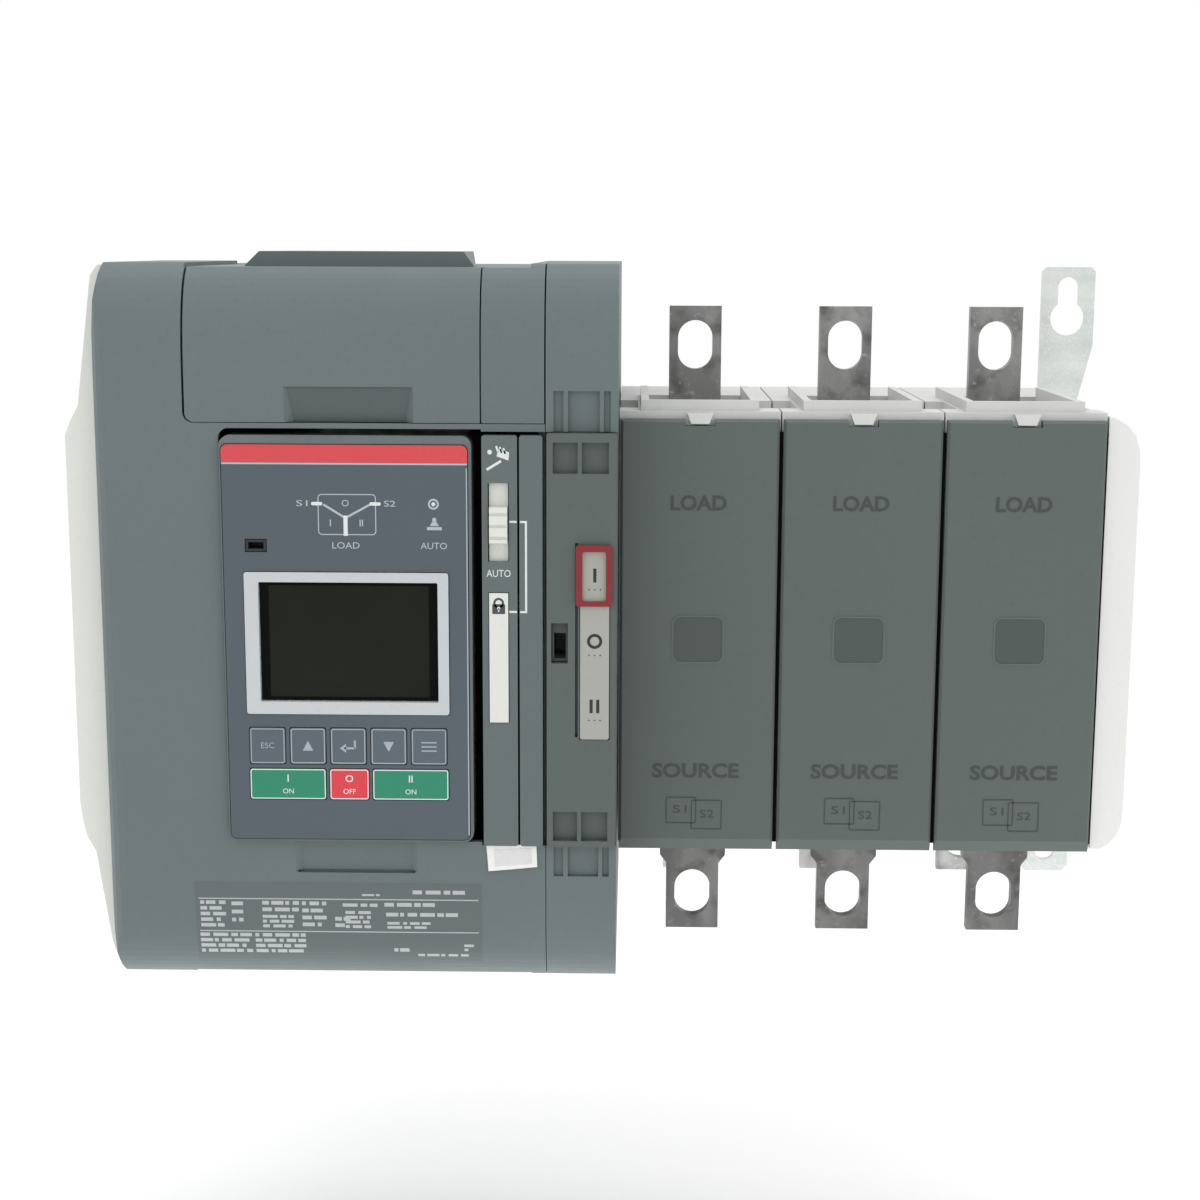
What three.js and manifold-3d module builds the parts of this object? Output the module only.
// Automatic transfer switch: a motor-driven three-pole changeover switch with a control panel.
// Millimetres, +Z up. The front looks along -Y and the mounting plane is Y = 0.
// X = 0 is where the mechanism meets the pole stack, and Z = 0 is the height of the main shaft.

import * as THREE from 'three';
import { mergeVertices } from 'three/addons/utils/BufferGeometryUtils.js';
import Module from 'manifold-3d';

const wasm = await Module();
wasm.setup();

// ---------------------------------------------------------------- driving dimensions

const GAP = 0.3; // between pieces that touch
const CLEAR = 0.6; // round pieces that move or drop in

const POLES = 3;
const PITCH = 65;
const POLE_START = 0.5; // where the first pole's share of the width begins
const POLE_HALF = PITCH / 2 - GAP;
const POLE_COVER_HALF = PITCH / 2 - 0.85; // leaves a dark joint between covers

const PLATE = 3; // base plate thickness
const BACK = -PLATE - GAP; // rear edge of everything that stands on the base plate
const POLE_FRONT = -153;
const FRONT = -181; // flat front of the mechanism
const PANEL_FRONT = -184; // raised panels and the control panel

const WALL = 3;
const TOP = 150;
const BOTTOM = -137.4;
const LEFT = -204.2;
const COLUMN_LEFT = -27.4;
const COLUMN_RIGHT = POLE_START;

const SHAFT_Y = -72;
const SHAFT_SIDE = 12;
const SHAFT_HOLE_R = 10;
const SOURCE_OFFSET = 43; // the two source terminals stand this far in front of and behind the shaft
const TAB_WIDTH = 22.5;
const TAB_THICK = 5;
const LOAD_TOP = 131.5;
const SOURCE_BOTTOM = -134.3;

const PANEL_BACK = -176; // rear of the mode panel and its trim strip
const PANEL_TOP = 86;
const PANEL_BOTTOM = -78.5;

const HMI = { left: -153.5, right: -56, bottom: -76.9, top: 84.6, wall: 2.4, back: -152 };

const POSITION_STEP = 26; // travel of the pointer from one position mark to the next

const GEAR_MODULE = 2;
const GEAR_TEETH = 30;
const PINION_TEETH = 10;
const GEAR_BACKLASH = 0.5;

// ---------------------------------------------------------------- materials

function finish(color, roughness, metalness = 0) {
  return new THREE.MeshStandardMaterial({ color, roughness, metalness });
}

const housingGrey = finish(0x6c7675, 0.55);
const panelGrey = finish(0x646e6d, 0.5);
const lightGrey = finish(0xdcddd8, 0.5);
const hmiBlue = finish(0x454f5e, 0.45);
const keyBlue = finish(0x4d586a, 0.4);
const keyGreen = finish(0x177a5a, 0.4);
const keyRed = finish(0xd3343c, 0.4);
const signalRed = finish(0xb01f2a, 0.4);
const white = finish(0xe4e5e0, 0.45);
const screenGlass = finish(0x1d211f, 0.15);
const darkPlastic = finish(0x24292a, 0.6);
const boardGreen = finish(0x1f5a38, 0.6);
const tinnedCopper = finish(0x9a9896, 0.35, 0.9);
const zincSteel = finish(0xc9d0cc, 0.35, 0.8);
const steel = finish(0x8d9092, 0.35, 0.9);
const brass = finish(0xb39a5a, 0.35, 0.9);

// ---------------------------------------------------------------- solids

// A closed three.js geometry as a manifold-3d solid.
function solidFrom(geometry) {
  const bare = geometry.index ? geometry.toNonIndexed() : geometry.clone();
  bare.deleteAttribute('normal');
  bare.deleteAttribute('uv');
  const merged = mergeVertices(bare, 1e-4);
  const mesh = new wasm.Mesh({
    numProp: 3,
    vertProperties: merged.attributes.position.array,
    triVerts: new Uint32Array(merged.index.array),
  });
  return new wasm.Manifold(mesh);
}

// A block between two corners, each given as a [low, high] span.
function block([x0, x1], [y0, y1], [z0, z1]) {
  const geometry = new THREE.BoxGeometry(x1 - x0, y1 - y0, z1 - z0);
  geometry.translate((x0 + x1) / 2, (y0 + y1) / 2, (z0 + z1) / 2);
  return solidFrom(geometry);
}

function extruded(shape, depth, segments) {
  return new THREE.ExtrudeGeometry(shape, { depth, bevelEnabled: false, curveSegments: segments });
}

// A shape drawn in (y, z), run along X.
function alongX(shape, [x0, x1], segments = 6) {
  const geometry = extruded(shape, x1 - x0, segments);
  const yAxis = new THREE.Vector3(0, 1, 0);
  const zAxis = new THREE.Vector3(0, 0, 1);
  const xAxis = new THREE.Vector3(1, 0, 0);
  geometry.applyMatrix4(new THREE.Matrix4().makeBasis(yAxis, zAxis, xAxis));
  geometry.translate(x0, 0, 0);
  return solidFrom(geometry);
}

// A shape drawn in (x, z), run along Y.
function alongY(shape, [y0, y1], segments = 4) {
  const geometry = extruded(shape, y1 - y0, segments);
  geometry.rotateX(Math.PI / 2);
  geometry.translate(0, y1, 0);
  return solidFrom(geometry);
}

// A shape drawn in (x, y), run along Z.
function alongZ(shape, [z0, z1], segments = 6) {
  const geometry = extruded(shape, z1 - z0, segments);
  geometry.translate(0, 0, z0);
  return solidFrom(geometry);
}

// A round bar along X.
function barX(radius, [x0, x1], y, z, segments = 24) {
  const geometry = new THREE.CylinderGeometry(radius, radius, x1 - x0, segments);
  geometry.rotateZ(Math.PI / 2);
  geometry.translate((x0 + x1) / 2, y, z);
  return solidFrom(geometry);
}

// A rectangle with round corners in the two coordinates of its plane.
function roundRect([u0, u1], [v0, v1], r) {
  const shape = new THREE.Shape();
  shape.absarc(u1 - r, v0 + r, r, -Math.PI / 2, 0);
  shape.absarc(u1 - r, v1 - r, r, 0, Math.PI / 2);
  shape.absarc(u0 + r, v1 - r, r, Math.PI / 2, Math.PI);
  shape.absarc(u0 + r, v0 + r, r, Math.PI, Math.PI * 1.5);
  return shape;
}

function polygon(points) {
  return new THREE.Shape(points.map(([u, v]) => new THREE.Vector2(u, v)));
}

function span(centre, half) {
  return [centre - half, centre + half];
}

function grow([low, high], by) {
  return [low - by, high + by];
}

function subtractAll(solid, cuts) {
  return cuts.reduce((rest, cut) => rest.subtract(cut), solid);
}

function addAll(solid, extras) {
  return extras.reduce((whole, extra) => whole.add(extra), solid);
}

const part = new THREE.Group();

// Adds a solid to the part as one named mesh.
function piece(name, solid, material) {
  const { vertProperties, triVerts } = solid.getMesh();
  const indexed = new THREE.BufferGeometry();
  indexed.setAttribute('position', new THREE.BufferAttribute(new Float32Array(vertProperties), 3));
  indexed.setIndex(new THREE.BufferAttribute(new Uint32Array(triVerts), 1));
  const geometry = indexed.toNonIndexed();
  geometry.computeVertexNormals();
  const mesh = new THREE.Mesh(geometry, material);
  mesh.name = name;
  part.add(mesh);
}

// ---------------------------------------------------------------- mechanism shells

// Side view of the mechanism in (y, z): a flat front that leans back towards both ends.
function sideProfile(inset, back) {
  const front = FRONT + inset;
  const top = TOP - inset;
  const bottom = BOTTOM + inset;
  const shape = new THREE.Shape();
  shape.moveTo(back, bottom);
  shape.lineTo(back, top);
  shape.lineTo(front + 16, top);
  shape.quadraticCurveTo(front, top - 5, front, top - 45);
  shape.lineTo(front, bottom + 40);
  shape.quadraticCurveTo(front, bottom + 4, front + 14, bottom);
  return shape;
}

// Top view of the main housing in (x, y), with a round front left edge.
function topProfile(inset, back, right) {
  const left = LEFT + inset;
  const front = FRONT + inset;
  const shape = new THREE.Shape();
  shape.moveTo(right, back);
  shape.lineTo(left, back);
  shape.lineTo(left, front + 12);
  shape.quadraticCurveTo(left, front, left + 12, front);
  shape.lineTo(right, front);
  return shape;
}

// Front view of the main housing in (x, z), whose left edge draws in towards both ends.
function frontProfile(inset, right) {
  const left = LEFT + inset;
  const top = TOP - inset;
  const bottom = BOTTOM + inset;
  const shape = new THREE.Shape();
  shape.moveTo(right, bottom);
  shape.lineTo(right, top);
  shape.lineTo(left + 4.2, top);
  shape.quadraticCurveTo(left, top - 32, left, top - 55);
  shape.lineTo(left, bottom + 47);
  shape.quadraticCurveTo(left, bottom + 22, left + 4.2, bottom);
  return shape;
}

function housingForm(inset, back, right) {
  const side = alongX(sideProfile(inset, back), [LEFT - 1, right + 1], 14);
  const above = alongZ(topProfile(inset, back, right), [BOTTOM - 1, TOP + 1]);
  return side.intersect(above).intersect(alongY(frontProfile(inset, right), [FRONT - 1, back + 1], 5));
}

const HOUSING_RIGHT = COLUMN_LEFT - GAP;
const BACK_COVER_FRONT = BACK - 2.5;
const LEFT_EAR = { left: -196, right: -171.5 };
const FLAP = { left: -167.6, right: -52.5, bottom: 89.2, back: -150 };
const STEP = {
  height: 1.5, right: -33.7, roofLeft: -168.2, roofBack: -60, footLeft: -171.7, footBack: -120,
};
const GRIP = { left: -127.8, right: -78.8, slope: 3 };
const NOTCH_BOTTOM = PANEL_BOTTOM - 11.8;
const SIDE_BAY = [-52.9, HOUSING_RIGHT + 1]; // where the mode panel and its trim strip drop in

function housingShell() {
  const outer = housingForm(0, BACK, HOUSING_RIGHT);
  return outer.subtract(housingForm(WALL, BACK + 1, HOUSING_RIGHT - WALL));
}

// The raised part of the roof, with sloping ends, which narrows towards the rear.
function roofHump() {
  const outline = polygon([[-149, TOP - 2], [-56.6, TOP - 2], [-61.2, TOP + 4.4], [-142.4, TOP + 4.4]]);
  const back = -66;
  const above = polygon([[-152, FLAP.back + 1], [-56, FLAP.back + 1], [-64.5, back], [-141, back]]);
  return alongY(outline, [FLAP.back + 2, back]).intersect(alongZ(above, [TOP - 3, TOP + 6]));
}

// A shallow finger grip with sloping sides, cut into the flat front.
function fingerGrip([z0, z1], depthBelow, depthAbove) {
  const { left, right, slope } = GRIP;
  const deepest = FRONT + Math.max(depthBelow, depthAbove);
  const above = polygon([
    [left - slope / 2, FRONT - 1], [right + slope / 2, FRONT - 1],
    [right - slope, deepest], [left + slope, deepest],
  ]);
  const side = polygon([
    [FRONT - 2, z0], [FRONT + depthBelow, z0], [FRONT + depthAbove, z1], [FRONT - 2, z1],
  ]);
  return alongZ(above, [z0 - 1, z1 + 1]).intersect(alongX(side, grow([left, right], slope)));
}

// The roof stands a step lower between a strip at each end, and all along its rear part.
function roofStep() {
  const z = [TOP - STEP.height, TOP + 1];
  const front = block([STEP.roofLeft, STEP.right], [FRONT - 1, STEP.roofBack], z);
  return front.add(block([LEFT - 1, STEP.right], [STEP.roofBack, BACK + 1], z));
}

// A rib that closes the view through the joint between the two lids.
function seamRib() {
  const x = span(FLAP.right, 1.6);
  const back = FLAP.back + 4;
  const inside = housingForm(WALL + CLEAR, BACK, HOUSING_RIGHT);
  const rib = inside.intersect(block(x, [FRONT, back], [FLAP.bottom + CLEAR, TOP]));
  return rib.add(block(x, [FLAP.back + CLEAR, back], [TOP - 14, TOP - WALL + 0.5]));
}

// A region open to the right and above, with one round corner below on the left.
function lidRegion(left, bottom, radius, ySpan) {
  return alongY(roundRect([left, SIDE_BAY[1] + 10], [bottom, TOP + 20], radius), ySpan);
}

function mechanismHousing() {
  const flapHole = lidRegion(FLAP.left, FLAP.bottom, 4, [FRONT - 1, FLAP.back]);
  const wallDepth = [FRONT - 1, FRONT + WALL + 1];
  const hmiRegion = block([HMI.left - 1, SIDE_BAY[0] + 0.5], wallDepth, [HMI.bottom - 1, HMI.top + 3]);
  const hmiHole = alongY(
    roundRect([HMI.left - CLEAR, SIDE_BAY[0] + 5], [HMI.bottom - CLEAR, HMI.top + 2.6], 4),
    wallDepth,
  ).intersect(hmiRegion);
  const bay = block(SIDE_BAY, [FRONT - 1, PANEL_BACK + CLEAR], grow([PANEL_BOTTOM, PANEL_TOP], GAP));
  const thumbNotch = fingerGrip([NOTCH_BOTTOM, HMI.bottom], 1.9, 1.9);
  const grooveDepth = [FRONT - 1, FRONT + 2.4];
  const notchGroove = block(grow([GRIP.left, GRIP.right], -1), grooveDepth, span(NOTCH_BOTTOM, 0.45));
  const footSpan = [STEP.footLeft, STEP.right];
  const foot = block(footSpan, [FRONT - 1, STEP.footBack], [BOTTOM - 1, BOTTOM + STEP.height]);
  const shaftHole = barX(SHAFT_HOLE_R, [HOUSING_RIGHT - WALL - 1, HOUSING_RIGHT + 1], SHAFT_Y, 0);
  const shell = housingShell().subtract(roofStep()).add(roofHump());
  const cuts = [flapHole, hmiHole, bay, thumbNotch, notchGroove, foot, shaftHole];
  for (let i = 0; i < 9; i += 1) {
    cuts.push(block(span(-62 - i * 12, 1.6), [-108, -56], [BOTTOM - 1, BOTTOM + WALL + 1])); // vents below
  }
  return subtractAll(shell, cuts).add(seamRib());
}

// A lid cut from the housing's own form, so it follows the curve of the front and the roof.
function roofLid([x0, x1], radius) {
  const depth = [FRONT - 1, FLAP.back - CLEAR];
  const region = lidRegion(x0, FLAP.bottom + GAP, radius, depth);
  const shell = housingForm(0, BACK, HOUSING_RIGHT).subtract(housingForm(WALL, BACK + 1, HOUSING_RIGHT + 1));
  return shell.subtract(roofStep()).intersect(region).intersect(block([x0, x1], depth, [0, TOP + 1]));
}

// The lid over the control terminals, with a grip that deepens towards its lower edge.
function terminalFlap() {
  const gripTop = 103.2;
  const backing = block(grow([GRIP.left, GRIP.right], 4), [FRONT + WALL - 0.5, FRONT + 4.8],
    [FLAP.bottom + GAP, gripTop + 3]);
  const lid = roofLid([FLAP.left + 0.9, FLAP.right - GAP], 3.4).add(backing);
  return lid.subtract(fingerGrip([FLAP.bottom - 1, gripTop], 3.4, 0.9));
}

function auxiliaryCover() {
  return roofLid([FLAP.right + GAP, HOUSING_RIGHT - GAP], 0.5);
}

// The rear wall of the main housing, with vents and room for the heads of the two left wall screws.
function backCover() {
  const plate = alongY(frontProfile(WALL + GAP, HOUSING_RIGHT - WALL - GAP), [BACK_COVER_FRONT, BACK], 5);
  const leftEarX = (LEFT_EAR.left + LEFT_EAR.right) / 2;
  const through = [BACK_COVER_FRONT - 1, BACK + 1];
  const cuts = [
    block(span(leftEarX, 12), through, [108, 140]),
    block(span(leftEarX, 8), through, [-132, -116]),
  ];
  for (let i = 0; i < 7; i += 1) {
    cuts.push(block(span(-66 - i * 12, 2), through, [96, 132]));
  }
  return subtractAll(plate, cuts);
}

// Light side cover with a bulge over the middle of its height.
function leftEndCover() {
  const outer = polygon([
    [-202.6, 149], [-205.6, 145], [-212.4, 94], [-215.6, 88.3], [-217.9, 82.5], [-218, -67],
    [-217.2, -74.5], [-215.6, -81.5], [-212.3, -87.5], [-211.5, -93], [-206.9, -126], [-203.4, -136.4],
    [-199, -136.4], [-199, 149],
  ]);
  const inner = polygon([
    [LEFT + 1, 84], [-211, 84], [-214.8, 78], [-215, -62], [-214, -74], [-210.5, -82], [LEFT + 1, -82],
  ]);
  const front = FRONT + 16.4;
  const housing = alongY(frontProfile(-GAP, LEFT + 20), [front - 1, 0], 5);
  return subtractAll(alongY(outer, [front, BACK]), [housing, alongY(inner, [front + 4, BACK - WALL])]);
}

function mechanismColumn() {
  const outer = alongX(sideProfile(0, BACK), [COLUMN_LEFT, COLUMN_RIGHT], 14);
  const hollow = alongX(sideProfile(WALL, BACK - WALL), [COLUMN_LEFT + 2.4, COLUMN_RIGHT - 2.4], 7);
  const bayDepth = [FRONT - 1, FRONT + WALL + 1];
  const bay = block([COLUMN_LEFT - 1, 1], bayDepth, grow([PANEL_BOTTOM, PANEL_TOP], GAP));
  const shaftHole = barX(SHAFT_HOLE_R, [COLUMN_LEFT - 1, 1], SHAFT_Y, 0);
  const pockets = [];
  for (const [z0, z1] of [[PANEL_TOP - 1, PANEL_TOP + 16], [PANEL_BOTTOM - 13, PANEL_BOTTOM + 1]]) {
    pockets.push(block([-24.4, -20.6], [FRONT - 1, FRONT + 1.6], [z0, z1]));
    pockets.push(block([-18.8, -6.6], [FRONT - 1, FRONT + 2], [z0, z1]));
    pockets.push(block([-5, -2.4], [FRONT - 1, FRONT + 1.6], [z0, z1]));
  }
  return subtractAll(outer, [hollow, bay, shaftHole, ...pockets]);
}

// ---------------------------------------------------------------- position indicator

const INDICATOR = { left: -27, right: 0.2 };
const STRIP = { left: -13.9, right: -2.6, bottom: -34.3, top: 42.6 };
const POINTER = { left: -15.7, right: -1.6, bottom: 19, top: 43 };
const POINTER_LIP = [POINTER.left, POINTER.left + 0.7];
const SOCKET = { left: -25.2, right: -18.8, bottom: -4, top: 12 };

function indicatorPanel() {
  const outline = roundRect([INDICATOR.left, INDICATOR.right], [PANEL_BOTTOM, PANEL_TOP], 1);
  const plate = alongY(outline, [PANEL_FRONT, FRONT + WALL]);
  const cuts = [];
  for (const [z0, z1] of [[70.5, 82.5], [-76, -64]]) {
    cuts.push(block([-24.6, -15], [PANEL_FRONT - 1, PANEL_FRONT + 3.4], [z0, z1]));
    cuts.push(block([-13.4, -3], [PANEL_FRONT - 1, PANEL_FRONT + 3.4], [z0, z1]));
  }
  const socketDepth = [PANEL_FRONT - 1, FRONT + WALL + 1];
  cuts.push(block([SOCKET.left, SOCKET.right], socketDepth, [SOCKET.bottom, SOCKET.top]));
  const stripDepth = [PANEL_FRONT - 1, PANEL_FRONT + 2];
  cuts.push(block(grow([STRIP.left, STRIP.right], GAP), stripDepth, grow([STRIP.bottom, STRIP.top], GAP)));
  const grooveEnds = [POINTER.bottom - 2 * POSITION_STEP - CLEAR, POINTER.top + CLEAR];
  cuts.push(block(grow(POINTER_LIP, 0.2), [PANEL_FRONT - 1, PANEL_FRONT + 2.8], grooveEnds));
  return subtractAll(plate, cuts);
}

function positionStrip() {
  const outline = roundRect([STRIP.left, STRIP.right], [STRIP.bottom, STRIP.top], 0.8);
  return alongY(outline, [PANEL_FRONT - 0.5, PANEL_FRONT + 1.6]);
}

// The frame that stands round I, O or II, with a lip that runs in the panel's groove.
function positionPointer() {
  const front = PANEL_FRONT - 2;
  const outer = alongY(roundRect([POINTER.left, POINTER.right], [POINTER.bottom, POINTER.top], 1.2),
    [front, PANEL_FRONT - 0.8]);
  const window = alongY(roundRect([-13.1, -3.9], [POINTER.bottom + 1.9, POINTER.top - 2.6], 0.8),
    [front - 1, PANEL_FRONT]);
  const lipHeight = [POINTER.bottom + 2, POINTER.top - 2];
  const lip = block(POINTER_LIP, [PANEL_FRONT - 1, PANEL_FRONT + 2.2], lipHeight);
  return outer.subtract(window).add(lip);
}

// The square socket that takes the manual handle, behind its slot in the panel.
function handleSocket() {
  const body = block(
    [SOCKET.left + GAP, SOCKET.right - GAP],
    [PANEL_FRONT + 3, FRONT + 22],
    [SOCKET.bottom + GAP, SOCKET.top - GAP],
  );
  return body.subtract(block([-24.2, -19.6], [PANEL_FRONT, FRONT + 18], [-2.6, 7.6]));
}

// ---------------------------------------------------------------- mode switch and padlock tab

const MODE = { left: -52.1, right: -38.4, face: -183, windowLeft: -49.8, windowRight: -41.6 };
const SLIDER = { windowBottom: 36, windowTop: 66.6, knobBottom: 43.4, knobTop: 57.4 };
const PADLOCK = { left: -49.4, right: -42, bottom: -28, top: 23.6, back: -152 };

function modePanel() {
  const outline = roundRect([MODE.left, MODE.right], [PANEL_BOTTOM, PANEL_TOP - 1], 1);
  const body = alongY(outline, [MODE.face, PANEL_BACK]);
  const window = block([MODE.windowLeft, MODE.windowRight], [MODE.face - 1, -175],
    [SLIDER.windowBottom, SLIDER.windowTop]);
  const pocket = block([-50.4, -41], [-181.4, -175], [SLIDER.windowBottom - 7, SLIDER.windowTop + 8]);
  const tabHole = block(grow([PADLOCK.left, PADLOCK.right], GAP), [MODE.face - 1, -175],
    grow([PADLOCK.bottom, PADLOCK.top], GAP));
  return subtractAll(body, [window, pocket, tabHole]);
}

function modeSlider() {
  const strip = block([-49.4, -42], [-181, -179.4], [SLIDER.windowBottom - 1, SLIDER.windowTop + 1.2]);
  const knob = block([-49.2, -42.2], [MODE.face - 1.8, -180], [SLIDER.knobBottom, SLIDER.knobTop]);
  const grooves = [];
  for (const z of [45.4, 50, 54.6]) {
    grooves.push(block([-50, -41], [MODE.face - 3, MODE.face - 1.1], span(z, 0.6)));
  }
  return subtractAll(strip.add(knob), grooves);
}

function padlockTab() {
  const depth = [MODE.face - 0.4, PADLOCK.back];
  const body = block([PADLOCK.left, PADLOCK.right], depth, [PADLOCK.bottom, PADLOCK.top]);
  return body.subtract(barX(4, [-52, -40], MODE.face + 8, -3, 16));
}

function trimStrip() {
  const outline = roundRect([-37.6, -28.6], [PANEL_BOTTOM, PANEL_TOP - 1], 1);
  return alongY(outline, [MODE.face - 0.2, PANEL_BACK]);
}

// ---------------------------------------------------------------- control panel

const FILM = { left: HMI.left + 0.9, right: HMI.right - 1.5, bottom: HMI.bottom + 1, top: HMI.top - 3.4 };
const FILM_BACK = PANEL_FRONT + 2;
const SCREEN_FRAME = { x: [-144.9, -65.2], z: [-25, 31.5] };
const SCREEN = { x: [-139.4, -69.4], z: [-20, 27.6] };
const PORT = { x: [-143.9, -135.9], z: [39.6, 44.2] };
const KEY_FRONT = PANEL_FRONT - 0.1;
const KEY_BACK = FILM_BACK;
const KEY_WIDTH = 14;
const KEY_STEP = 15.95;
const KEY_FIRST_X = -137.2;
const KEY_ROW = [-45.2, -30.6];
const BUTTON_ROW = [-59.6, -47.2];

const keys = ['key_escape', 'key_up', 'key_enter', 'key_down', 'key_menu'].map((name, i) => ({
  name,
  material: keyBlue,
  x: span(KEY_FIRST_X + i * KEY_STEP, KEY_WIDTH / 2),
  z: KEY_ROW,
}));
keys.push({ name: 'button_source_1_on', material: keyGreen, x: [-144.4, -114.4], z: BUTTON_ROW });
keys.push({ name: 'button_off', material: keyRed, x: [-112.8, -97.4], z: BUTTON_ROW });
keys.push({ name: 'button_source_2_on', material: keyGreen, x: [-95.8, -65.8], z: BUTTON_ROW });

// A box open to the front, with a sloping upper edge and a seat for the film plate.
function hmiCase() {
  const front = PANEL_FRONT + 0.4;
  const outer = alongY(roundRect([HMI.left, HMI.right], [HMI.bottom, HMI.top], 4), [front, HMI.back]);
  const side = polygon([
    [front, HMI.bottom - 1], [HMI.back + 1, HMI.bottom - 1], [HMI.back + 1, HMI.top + 1],
    [front + 3, HMI.top + 1], [front + 2.4, HMI.top], [front, FILM.top + 0.8],
  ]);
  const hollow = alongY(
    roundRect(grow([HMI.left, HMI.right], -HMI.wall), [HMI.bottom + HMI.wall, FILM.top - 1.6], 2),
    [PANEL_FRONT, HMI.back - 3],
  );
  const seat = alongY(
    roundRect(grow([FILM.left, FILM.right], GAP), grow([FILM.bottom, FILM.top], GAP), 2.6),
    [front - 1, FILM_BACK + GAP],
  );
  const cableHole = block([-120, -90], [HMI.back - 4, HMI.back + 1], [-60, -40]);
  const body = outer.intersect(alongX(side, grow([HMI.left, HMI.right], 1)));
  return subtractAll(body, [hollow, seat, cableHole]);
}

function hmiFront() {
  const outline = roundRect([FILM.left, FILM.right], [FILM.bottom, FILM.top], 2.4);
  const plate = alongY(outline, [PANEL_FRONT + 0.1, FILM_BACK]);
  const through = [PANEL_FRONT - 1, PANEL_FRONT + 3];
  const holes = keys.map((key) =>
    alongY(roundRect(grow(key.x, GAP), grow(key.z, GAP), 1), through));
  holes.push(alongY(roundRect(grow(SCREEN_FRAME.x, GAP), grow(SCREEN_FRAME.z, GAP), 1.4), through));
  holes.push(block(grow(PORT.x, GAP), through, grow(PORT.z, GAP)));
  return subtractAll(plate, holes);
}

function screenFrame() {
  const depth = [PANEL_FRONT - 0.4, PANEL_FRONT + 3.2];
  const outer = alongY(roundRect(SCREEN_FRAME.x, SCREEN_FRAME.z, 1.1), depth);
  return outer.subtract(alongY(roundRect(SCREEN.x, SCREEN.z, 0.6), grow(depth, 1)));
}

function screenGlassPlate() {
  const outline = roundRect(grow(SCREEN.x, -GAP), grow(SCREEN.z, -GAP), 0.5);
  return alongY(outline, [PANEL_FRONT + 2, PANEL_FRONT + 3.2]);
}

function screenModule() {
  return block(grow(SCREEN.x, 2), [PANEL_FRONT + 3.6, PANEL_FRONT + 9], grow(SCREEN.z, 2));
}

function controlBoard() {
  return block([-148, -61], [-172, -170.4], [-71, 76]);
}

function programmingPort() {
  const body = block(PORT.x, [PANEL_FRONT + 0.3, -173], PORT.z);
  return body.subtract(block(grow(PORT.x, -1), [PANEL_FRONT - 1, -176], grow(PORT.z, -1)));
}

function keyCap(key) {
  return alongY(roundRect(key.x, key.z, 1), [KEY_FRONT, KEY_BACK]);
}

// ---------------------------------------------------------------- drive

// A spur gear outline with straight-sided teeth, one tooth centred on the given angle.
function gearOutline(teeth, firstAngle) {
  const pitchR = (GEAR_MODULE * teeth) / 2;
  const tipR = pitchR + GEAR_MODULE * 0.8;
  const rootR = pitchR - GEAR_MODULE * 1.1;
  const step = (Math.PI * 2) / teeth;
  const points = [];
  for (let i = 0; i < teeth; i += 1) {
    const middle = firstAngle + i * step;
    for (const [radius, share] of [[rootR, -0.3], [tipR, -0.1], [tipR, 0.1], [rootR, 0.3]]) {
      const angle = middle + share * step;
      points.push([radius * Math.cos(angle), radius * Math.sin(angle)]);
    }
  }
  return polygon(points);
}

const GEAR_CENTRES = (GEAR_MODULE * (GEAR_TEETH + PINION_TEETH)) / 2 + GEAR_BACKLASH;
const GEAR_SPAN = [-58, -48];

function mainShaft() {
  const half = SHAFT_SIDE / 2;
  const outline = polygon([
    [-half, -half + 1.5], [-half + 1.5, -half], [half - 1.5, -half], [half, -half + 1.5],
    [half, half - 1.5], [half - 1.5, half], [-half + 1.5, half], [-half, half - 1.5],
  ]);
  return alongX(outline, [-66, POLES * PITCH - 8]).translate([0, SHAFT_Y, 0]);
}

function squareBore(spanX) {
  const half = SHAFT_SIDE / 2 + GAP;
  return block(spanX, span(SHAFT_Y, half), span(0, half));
}

function shaftGear() {
  const gear = alongX(gearOutline(GEAR_TEETH, 0), GEAR_SPAN).translate([0, SHAFT_Y, 0]);
  return gear.subtract(squareBore(grow(GEAR_SPAN, 1)));
}

function motorPinion() {
  const firstTooth = Math.PI + Math.PI / PINION_TEETH;
  const gear = alongX(gearOutline(PINION_TEETH, firstTooth), grow(GEAR_SPAN, -0.5));
  const stub = barX(4, [GEAR_SPAN[0] - 4, GEAR_SPAN[0] + 1], 0, 0, 16);
  return gear.add(stub).translate([0, SHAFT_Y + GEAR_CENTRES, 0]);
}

function driveMotor() {
  const y = SHAFT_Y + GEAR_CENTRES;
  const can = barX(18, [-112, -66], y, 0, 28);
  const nose = barX(9, [-67, GEAR_SPAN[0] - 4.4], y, 0, 20);
  const foot = block([-104, -74], [y, BACK_COVER_FRONT - GAP], [-14, 14]);
  const rearBoss = barX(7, [-117, -111], y, 0, 16);
  return addAll(can, [nose, foot, rearBoss]);
}

// Two rows of wire clamps in the compartment behind the terminal flap.
function controlTerminals() {
  const x = [-156, -60];
  const low = block(x, [-166, -122], [90, 112]);
  const high = block(x, [-152, -122], [111, 134]);
  const entries = [];
  const count = 12;
  for (let i = 0; i < count; i += 1) {
    const middle = x[0] + ((i + 0.5) * (x[1] - x[0])) / count;
    entries.push(block(span(middle, 2), [-167, -156], [93, 98]));
    entries.push(block(span(middle, 1.5), [-167, -160], [103, 107]));
    entries.push(block(span(middle, 2), [-153, -142], [115, 120]));
    entries.push(block(span(middle, 1.5), [-153, -146], [125, 129]));
  }
  return subtractAll(low.add(high), entries);
}

// ---------------------------------------------------------------- poles

const POLE_BODY = { bottom: -86, top: 92, front: POLE_FRONT + 4 };
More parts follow.
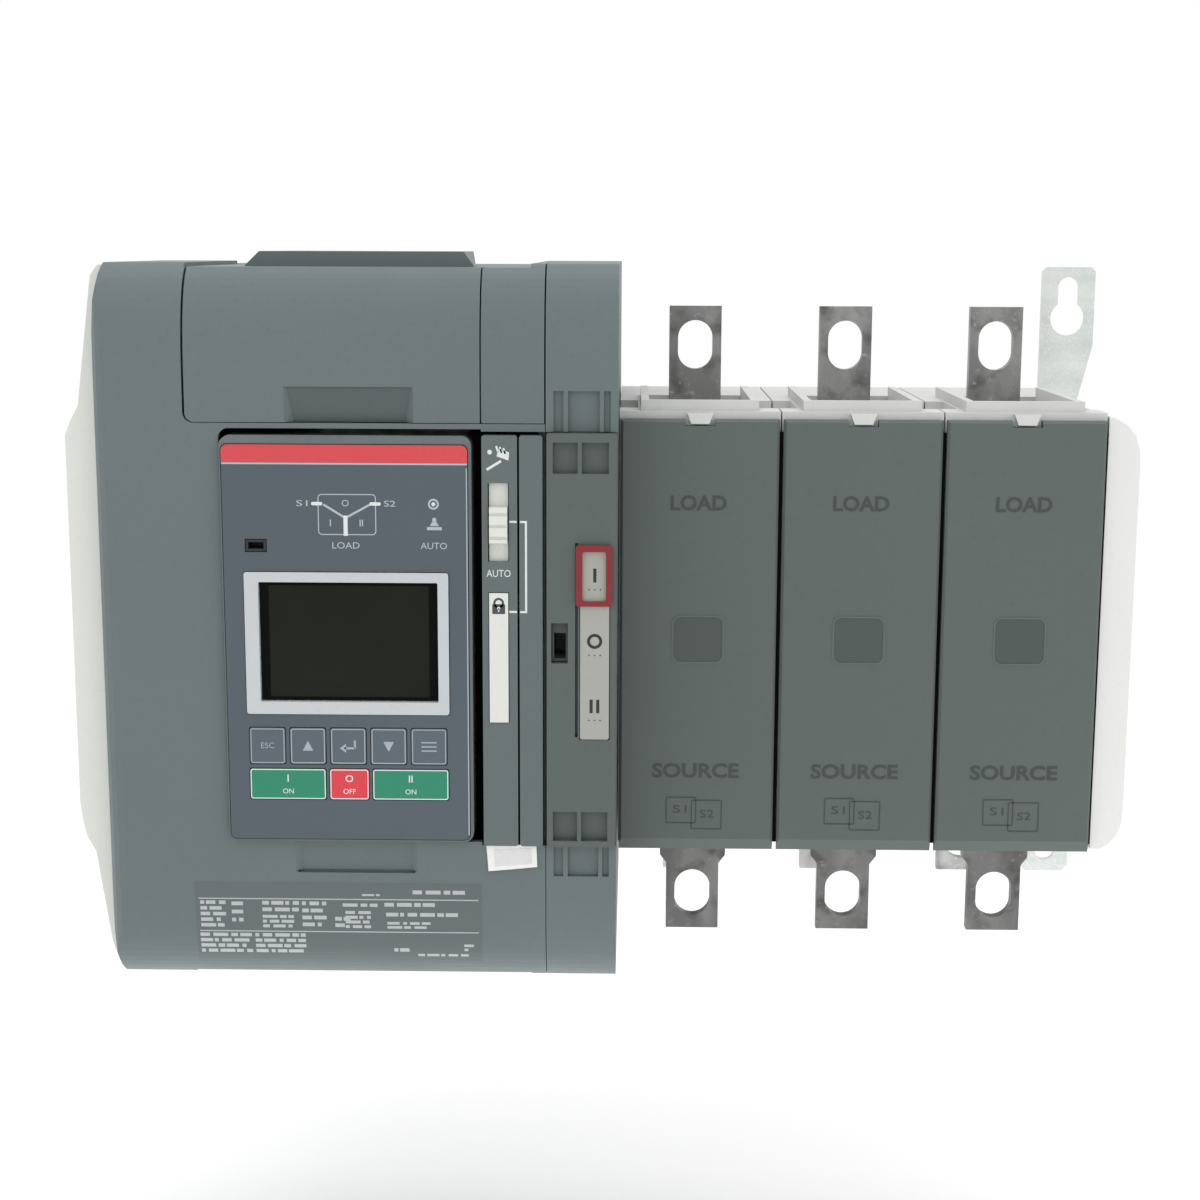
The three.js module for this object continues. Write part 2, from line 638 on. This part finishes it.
// The open chamber round each load terminal, and the raised wall round it.
const CHAMBER = { half: 20.4, wallHalf: 23.6, front: POLE_FRONT + 6.6, back: -62, floor: 88.4, top: 96.2 };
const HUB_R = 13.5;
const BLADE_REACH = 52;

function poleCentre(i) {
  return POLE_START + PITCH * (i + 0.5);
}

function poleBody(i) {
  const x = poleCentre(i);
  const across = span(x, POLE_HALF);
  const outer = block(across, [POLE_BODY.front, BACK], [POLE_BODY.bottom, POLE_BODY.top]);
  const wallZ = [CHAMBER.floor, CHAMBER.top];
  const chamberWall = block(span(x, CHAMBER.wallHalf), [CHAMBER.front, CHAMBER.back], wallZ);
  const chamberY = [CHAMBER.front + 3.2, CHAMBER.back + 1];
  const chamber = block(span(x, CHAMBER.half), chamberY, [CHAMBER.floor, CHAMBER.top + 1]);
  const sinks = [-1, 1].map((side) =>
    block(span(x + side * (POLE_HALF - 1), 6.4), [-132, -92], [CHAMBER.floor, CHAMBER.top]));
  const clipTop = POLE_BODY.top - 0.6;
  const clip = alongY(
    polygon([[x - 3.6, 87.2], [x + 3.6, 87.2], [x + 5.2, clipTop], [x - 5.2, clipTop]]),
    [POLE_FRONT + 0.4, POLE_BODY.front + 1],
  );
  const hollow = block(span(x, POLE_HALF - WALL), [POLE_BODY.front - 5, BACK - WALL], [-82, 85.4]);
  const loadSlot = block(span(x, TAB_WIDTH / 2 + GAP), span(SHAFT_Y, TAB_THICK / 2 + GAP), [80, 90]);
  const sourceSlots = [-1, 1].map((side) =>
    block(span(x, 14.4), span(SHAFT_Y + side * SOURCE_OFFSET, TAB_THICK / 2 + GAP), [-90, -80]));
  const shaftHole = barX(SHAFT_HOLE_R, grow(across, 1), SHAFT_Y, 0);
  const body = addAll(outer, [chamberWall, clip]);
  return subtractAll(body, [hollow, chamber, ...sinks, loadSlot, ...sourceSlots, shaftHole]);
}

// Front cover with bevelled edges, a deep bevel below and a notch for the clip above it.
function poleCover(i) {
  const x = poleCentre(i);
  const half = POLE_COVER_HALF;
  const bevel = 1;
  const [z0, z1] = [-88.6, 89];
  const back = POLE_BODY.front - GAP;
  const side = alongX(polygon([
    [back, z0], [back, z1], [POLE_FRONT + bevel, z1], [POLE_FRONT, z1 - bevel],
    [POLE_FRONT, z0 + 4.8], [POLE_FRONT + 2, z0],
  ]), span(x, half));
  const above = alongZ(polygon([
    [x - half, back + 1], [x - half, POLE_FRONT + bevel], [x - half + bevel, POLE_FRONT],
    [x + half - bevel, POLE_FRONT], [x + half, POLE_FRONT + bevel], [x + half, back + 1],
  ]), [z0 - 1, z1 + 1]);
  const notch = block(span(x, 6), [POLE_FRONT - 1, back + 1], [86.4, z1 + 1]);
  return side.intersect(above).subtract(notch);
}

function slotHole(x, z, width, height, ySpan) {
  return alongY(roundRect(span(x, width / 2), span(z, height / 2), width / 2 - 0.01), ySpan, 8);
}

function loadTerminal(i) {
  const x = poleCentre(i);
  const ySpan = span(SHAFT_Y, TAB_THICK / 2);
  const bar = block(span(x, TAB_WIDTH / 2), ySpan, [HUB_R + 0.5, LOAD_TOP]);
  return bar.subtract(slotHole(x, LOAD_TOP - 16.6, 15, 21, grow(ySpan, 1)));
}

function sourceTerminal(i, side) {
  const x = poleCentre(i);
  const ySpan = span(SHAFT_Y + side * SOURCE_OFFSET, TAB_THICK / 2);
  const half = TAB_WIDTH / 2;
  const wide = 14;
  const outline = polygon([
    [x - half, SOURCE_BOTTOM], [x + half, SOURCE_BOTTOM], [x + half, -105.2], [x + wide, -101.6],
    [x + wide, -30], [x - wide, -30], [x - wide, -101.6], [x - half, -105.2],
  ]);
  return alongY(outline, ySpan).subtract(slotHole(x, SOURCE_BOTTOM + 15.9, 15.2, 20.4, grow(ySpan, 1)));
}

// A moving contact: a hub on the shaft and a blade that swings from the front source to the rear one.
function contactBlade(i) {
  const x = poleCentre(i);
  const hub = barX(HUB_R, span(x, 16), 0, 0, 28);
  const blade = block(span(x, 10), [-4, 4], [-BLADE_REACH, -HUB_R + 3]);
  const turned = hub.add(blade).rotate([-45, 0, 0]).translate([0, SHAFT_Y, 0]);
  const bore = squareBore(span(x, 18));
  return turned.subtract(bore);
}

function rightEndCover() {
  const inner = POLE_START + POLES * PITCH + GAP;
  const outline = polygon([
    [inner, -87.6], [200, -87.6], [203.4, -85.6], [206.6, -81.6], [208.4, -76.6], [208.8, -70],
    [208.8, 72], [208.4, 77.6], [206.6, 83], [203.4, 87], [199.4, 89.6], [inner, 90.6],
  ]);
  const body = alongY(outline, [POLE_FRONT + 3, BACK]);
  return body.subtract(block([inner - 1, 205], [POLE_FRONT + 7, BACK - WALL], [-74, 76]));
}

// ---------------------------------------------------------------- base plate

const EAR = { left: 196.3, right: 220.8, top: 148, bottom: -143.4 };

// A keyhole: hang on the wide part, then drop onto the narrow part.
function keyhole(x, z) {
  const through = [-PLATE - 1, 1];
  const head = new THREE.Shape();
  head.absarc(x, z, 8, 0, Math.PI * 2);
  const neck = slotHole(x, z + 8, 9.6, 22, through);
  return alongY(head, through, 10).add(neck);
}

function roundHole(x, z, r) {
  const shape = new THREE.Shape();
  shape.absarc(x, z, r, 0, Math.PI * 2);
  return alongY(shape, [-PLATE - 1, 1], 10);
}

// Shallow seats in the rear face for the screws that hold the poles and the mechanism.
function screwSeats() {
  const seatX = [-182, -120, -52];
  for (let i = 0; i < POLES; i += 1) {
    seatX.push(poleCentre(i) - 20, poleCentre(i) + 20);
  }
  return seatX.flatMap((x) => [-64, 58].map((z) => {
    const shape = new THREE.Shape();
    shape.absarc(x, z, 5, 0, Math.PI * 2);
    return alongY(shape, [-1.6, 1], 8);
  }));
}

function basePlate() {
  const thick = [-PLATE, 0];
  const right = (EAR.left + EAR.right) / 2;
  const left = (LEFT_EAR.left + LEFT_EAR.right) / 2;
  const sheet = block([LEFT_EAR.left, 213], thick, [-94, 84]);
  const rightTop = alongY(polygon([
    [EAR.left, 80], [213, 80], [EAR.right, 112], [EAR.right, EAR.top - 2], [EAR.right - 2, EAR.top],
    [EAR.left + 2, EAR.top], [EAR.left, EAR.top - 2],
  ]), thick);
  const rightBottom = alongY(polygon([
    [EAR.left, -90], [EAR.left, EAR.bottom + 3], [EAR.left + 3, EAR.bottom], [EAR.right - 4, EAR.bottom],
    [EAR.right - 1, EAR.bottom + 3], [EAR.right - 1, -110], [213, -90],
  ].reverse()), thick);
  const leftEars = [[80, EAR.top - 3], [EAR.bottom + 8, -90]].map((zSpan) =>
    block([LEFT_EAR.left, LEFT_EAR.right], thick, zSpan));
  const holes = [
    keyhole(right, 124.4), keyhole(left, 120), roundHole(right, -133, 4.8), roundHole(left, -124, 4.8),
    ...screwSeats(),
  ];
  return subtractAll(addAll(sheet, [rightTop, rightBottom, ...leftEars]), holes);
}

// ---------------------------------------------------------------- assembly

piece('base_plate', basePlate(), zincSteel);
piece('mechanism_housing', mechanismHousing(), housingGrey);
piece('terminal_flap', terminalFlap(), housingGrey);
piece('auxiliary_cover', auxiliaryCover(), housingGrey);
piece('back_cover', backCover(), darkPlastic);
piece('left_end_cover', leftEndCover(), lightGrey);
piece('mechanism_column', mechanismColumn(), housingGrey);

piece('indicator_panel', indicatorPanel(), panelGrey);
piece('position_strip', positionStrip(), white);
piece('position_pointer', positionPointer(), signalRed);
piece('handle_socket', handleSocket(), darkPlastic);
piece('mode_panel', modePanel(), panelGrey);
piece('mode_slider', modeSlider(), white);
piece('padlock_tab', padlockTab(), white);
piece('trim_strip', trimStrip(), panelGrey);

piece('control_panel_case', hmiCase(), hmiBlue);
piece('control_panel_front', hmiFront(), hmiBlue);
piece('screen_frame', screenFrame(), white);
piece('screen_glass', screenGlassPlate(), screenGlass);
piece('screen_module', screenModule(), darkPlastic);
piece('control_board', controlBoard(), boardGreen);
piece('programming_port', programmingPort(), darkPlastic);
for (const key of keys) {
  piece(key.name, keyCap(key), key.material);
}

piece('control_terminals', controlTerminals(), boardGreen);
piece('main_shaft', mainShaft(), steel);
piece('shaft_gear', shaftGear(), brass);
piece('motor_pinion', motorPinion(), steel);
piece('drive_motor', driveMotor(), steel);

for (let i = 0; i < POLES; i += 1) {
  const n = i + 1;
  piece(`pole_body_${n}`, poleBody(i), lightGrey);
  piece(`pole_cover_${n}`, poleCover(i), panelGrey);
  piece(`load_terminal_${n}`, loadTerminal(i), tinnedCopper);
  piece(`source_1_terminal_${n}`, sourceTerminal(i, -1), tinnedCopper);
  piece(`source_2_terminal_${n}`, sourceTerminal(i, 1), tinnedCopper);
  piece(`contact_blade_${n}`, contactBlade(i), tinnedCopper);
}
piece('right_end_cover', rightEndCover(), lightGrey);

export default part;
